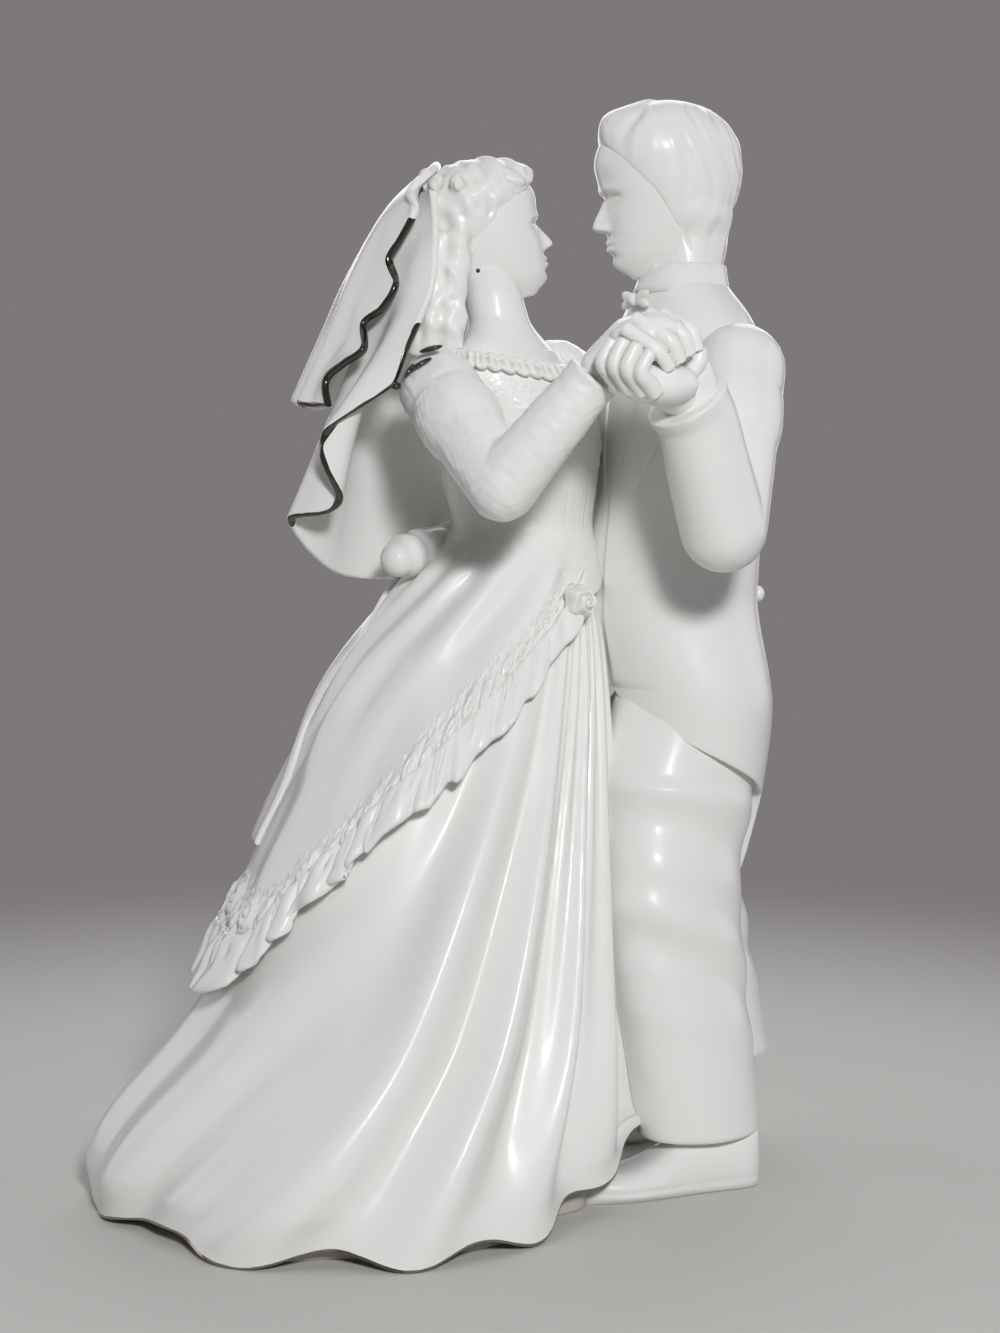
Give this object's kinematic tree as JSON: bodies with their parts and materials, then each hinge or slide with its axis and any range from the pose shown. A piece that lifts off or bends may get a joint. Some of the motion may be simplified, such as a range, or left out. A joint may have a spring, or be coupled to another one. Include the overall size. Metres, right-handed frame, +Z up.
{
  "type": "wedding cake topper",
  "caption": "Glazed white porcelain figure of a bride and groom dancing, with a full draped skirt, a veil and fine metal-painted edges; stands on a cake or table.",
  "frame": {"origin": "on the table, under the middle of the figure's box", "axes": "+Z up, +X from the bride to the groom, -Y to the side of the joined hands"},
  "size_m": [0.1288, 0.0989, 0.2001],
  "materials": {
    "porcelain": "clear gloss glaze over white porcelain",
    "bare_foot": "unglazed, wiped biscuit porcelain"
  },
  "bodies": {
    "root": {"bride_bodice": "porcelain", "neckline_lace": "porcelain", "bride_head": "porcelain", "bride_hair": "porcelain", "groom_left_shoe": "porcelain", "groom_right_shoe": "porcelain", "bride_skirt": "porcelain", "skirt_foot_ring": "bare_foot", "bride_overskirt": "porcelain", "overskirt_ruffle": "porcelain", "hip_rosette": "porcelain", "bride_right_sleeve": "porcelain", "groom_tailcoat": "porcelain", "groom_left_lapel": "porcelain", "groom_right_lapel": "porcelain", "groom_head": "porcelain", "groom_collar": "porcelain", "groom_bow_tie": "porcelain", "groom_hair": "porcelain", "groom_left_trouser": "porcelain", "groom_right_trouser": "porcelain", "coat_left_button": "porcelain", "coat_right_button": "porcelain", "groom_left_sleeve": "porcelain", "groom_right_sleeve": "porcelain", "bride_left_sleeve": "porcelain", "groom_left_cuff": "porcelain", "groom_right_cuff": "porcelain", "bride_right_hand": "porcelain", "groom_left_hand": "porcelain", "groom_right_hand": "porcelain", "bride_left_hand": "porcelain", "bow_knot": "porcelain", "bow_right_loop": "porcelain", "bow_left_loop": "porcelain", "bow_right_tail": "porcelain", "bow_left_tail": "porcelain", "veil_short_tier": "porcelain", "veil_long_tier": "porcelain"}
  },
  "joints": []
}
